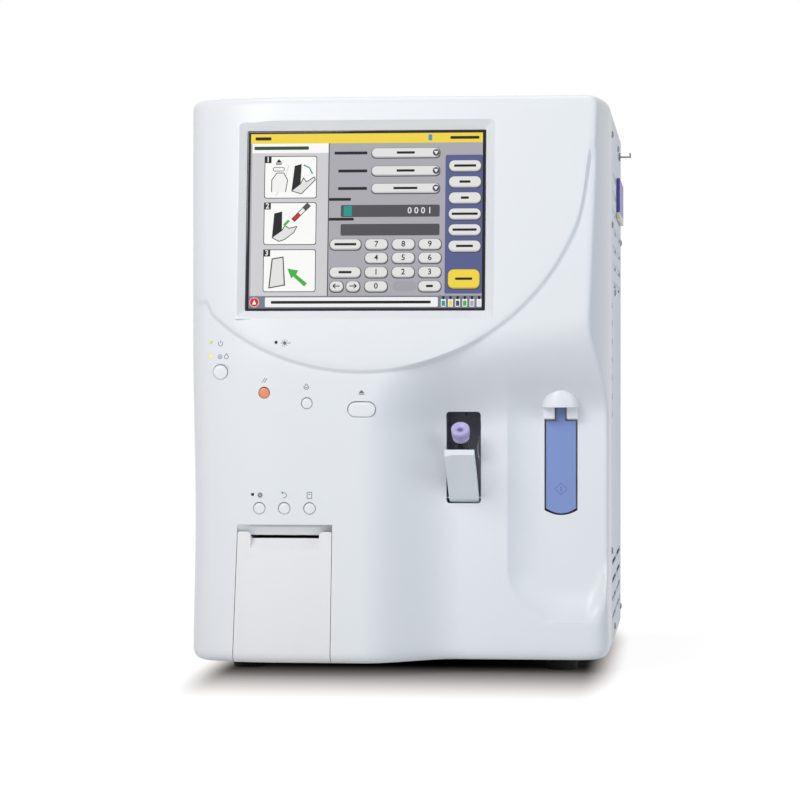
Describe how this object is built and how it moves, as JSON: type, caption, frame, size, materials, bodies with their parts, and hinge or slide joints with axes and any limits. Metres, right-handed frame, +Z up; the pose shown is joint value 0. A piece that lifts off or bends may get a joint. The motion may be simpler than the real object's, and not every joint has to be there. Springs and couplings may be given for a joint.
{
  "type": "hematology analyzer",
  "caption": "Benchtop blood analyzer with a tilted touch screen, push keys, receipt printer, hinged tube port and aspiration lever on a louvred steel housing.",
  "frame": {"origin": "centre of the bounding box on the bench under the feet", "axes": "+Z up, the front with the screen faces -Y, +X to the right seen from the front"},
  "size_m": [0.3945, 0.4929, 0.5215],
  "materials": {
    "board_green": "solder mask",
    "bright_steel": "bright plated",
    "cap_lavender": "lavender rubber-like cap",
    "cover_white": "semi-gloss moulded plastic",
    "dark_plastic": "fine texture",
    "door_white": "semi-gloss moulded plastic",
    "flap_violet": "deep violet, satin",
    "key_orange": "smooth orange key cap",
    "key_white": "smooth key caps",
    "lamp_dark": "unlit smoked light pipe",
    "lamp_green": "lit green light pipe",
    "lamp_yellow": "lit yellow light pipe",
    "lever_violet": "blue-violet, semi-gloss",
    "lip_ivory": "ivory, satin",
    "panel_white": "satin powder coat on sheet steel",
    "paper": "white thermal paper",
    "rubber": "black, matt",
    "screen_glass": "dark bordered touch glass",
    "sheet_steel": "zinc-plated sheet",
    "tube_glass": "clear tube",
    "unit_grey": "grey moulded housing"
  },
  "bodies": {
    "housing": {"base_tray": "sheet_steel", "display_module": "unit_grey", "display_tray": "sheet_steel", "fan_frame": "dark_plastic", "fan_guard": "bright_steel", "front_bulkhead": "sheet_steel", "front_cover": "cover_white", "front_left_foot": "rubber", "front_right_foot": "rubber", "left_side_panel": "panel_white", "lever_bracket": "sheet_steel", "lever_pin": "bright_steel", "main_board": "board_green", "measuring_unit": "unit_grey", "needle_guide": "sheet_steel", "port_liner": "dark_plastic", "power_inlet": "dark_plastic", "power_lamp": "lamp_green", "power_supply": "sheet_steel", "printer_chassis": "dark_plastic", "printer_door_pin": "bright_steel", "printer_key_board": "board_green", "printer_lamp": "lamp_dark", "ready_lamp": "lamp_yellow", "rear_left_foot": "rubber", "rear_panel": "panel_white", "rear_right_foot": "rubber", "right_side_panel": "panel_white", "screen_lamp": "lamp_dark", "side_flap": "flap_violet", "side_flap_lip": "lip_ivory", "syringe_pump": "unit_grey", "thermal_head": "dark_plastic", "top_panel": "panel_white", "touch_glass": "screen_glass", "tube_door_pin": "bright_steel", "tube_hook": "bright_steel", "tubing_ports": "bright_steel", "upper_key_board": "board_green"},
    "lever": {"aspiration_lever": "lever_violet"},
    "tube_door": {"tube_door": "door_white", "tube_holder": "dark_plastic"},
    "sample": {"sample_tube": "tube_glass", "tube_cap": "cap_lavender"},
    "nozzle": {"nozzle_arm": "sheet_steel", "aspiration_nozzle": "bright_steel"},
    "needle": {"needle_carriage": "sheet_steel", "piercing_needle": "bright_steel"},
    "printer_door": {"printer_door": "door_white"},
    "platen": {"platen_roller": "rubber"},
    "paper": {"paper_roll": "paper"},
    "fan": {"fan_rotor": "dark_plastic"},
    "rocker": {"rocker_switch": "dark_plastic"},
    "power_key_cap": {"power_key": "key_white"},
    "error_reset_key_cap": {"error_reset_key": "key_orange"},
    "round_function_key_cap": {"round_function_key": "key_white"},
    "pill_function_key_cap": {"pill_function_key": "key_white"},
    "printer_key_left_cap": {"printer_key_left": "key_white"},
    "printer_key_middle_cap": {"printer_key_middle": "key_white"},
    "printer_key_right_cap": {"printer_key_right": "key_white"}
  },
  "joints": [
    {"name": "power_key_push", "type": "slide", "parent": "housing", "child": "power_key_cap", "axis": [0, 1, 0], "range_m": [0, 0.0012], "stiffness_N_per_m": 600},
    {"name": "error_reset_key_push", "type": "slide", "parent": "housing", "child": "error_reset_key_cap", "axis": [0, 1, 0], "range_m": [0, 0.0012], "stiffness_N_per_m": 600},
    {"name": "round_function_key_push", "type": "slide", "parent": "housing", "child": "round_function_key_cap", "axis": [0, 1, 0], "range_m": [0, 0.0012], "stiffness_N_per_m": 600},
    {"name": "pill_function_key_push", "type": "slide", "parent": "housing", "child": "pill_function_key_cap", "axis": [0, 1, 0], "range_m": [0, 0.0012], "stiffness_N_per_m": 600},
    {"name": "printer_key_left_push", "type": "slide", "parent": "housing", "child": "printer_key_left_cap", "axis": [0, 1, 0], "range_m": [0, 0.0012], "stiffness_N_per_m": 600},
    {"name": "printer_key_middle_push", "type": "slide", "parent": "housing", "child": "printer_key_middle_cap", "axis": [0, 1, 0], "range_m": [0, 0.0012], "stiffness_N_per_m": 600},
    {"name": "printer_key_right_push", "type": "slide", "parent": "housing", "child": "printer_key_right_cap", "axis": [0, 1, 0], "range_m": [0, 0.0012], "stiffness_N_per_m": 600},
    {"name": "lever_press", "type": "hinge", "parent": "housing", "child": "lever", "pos_m": [0.141, -0.1685, 0.248], "axis": [1, 0, 0], "range_deg": [0, 4], "stiffness_Nm_per_rad": 0.6},
    {"name": "tube_door_swing", "type": "hinge", "parent": "housing", "child": "tube_door", "pos_m": [0.05395, -0.1801, 0.16], "axis": [1, 0, 0], "range_deg": [-55, 0]},
    {"name": "sample_tube_lift", "type": "slide", "parent": "tube_door", "child": "sample", "axis": [0, -0.7071, 0.7071], "range_m": [0, 0.05]},
    {"name": "nozzle_travel", "type": "slide", "parent": "housing", "child": "nozzle", "axis": [0, 0, -1], "range_m": [0, 0.028]},
    {"name": "needle_travel", "type": "slide", "parent": "housing", "child": "needle", "axis": [0, -0.1736, -0.9848], "range_m": [0, 0.045]},
    {"name": "printer_door_swing", "type": "hinge", "parent": "housing", "child": "printer_door", "pos_m": [-0.10665, -0.2235, 0.023], "axis": [1, 0, 0], "range_deg": [0, 80]},
    {"name": "platen_spin", "type": "hinge", "parent": "printer_door", "child": "platen", "pos_m": [-0.103, -0.2205, 0.1], "axis": [1, 0, 0], "continuous": true},
    {"name": "paper_spin", "type": "hinge", "parent": "housing", "child": "paper", "pos_m": [-0.105, -0.1715, 0.068], "axis": [1, 0, 0], "continuous": true},
    {"name": "fan_spin", "type": "hinge", "parent": "housing", "child": "fan", "pos_m": [0.104, 0.21835, 0.42], "axis": [0, 1, 0], "continuous": true},
    {"name": "rocker_tilt", "type": "hinge", "parent": "housing", "child": "rocker", "pos_m": [-0.081, 0.2235, 0.09], "axis": [1, 0, 0], "range_deg": [-8, 8]}
  ],
  "couplings": [
    {"joint": "platen_spin", "follows": "paper_spin", "ratio": -5.3333}
  ]
}
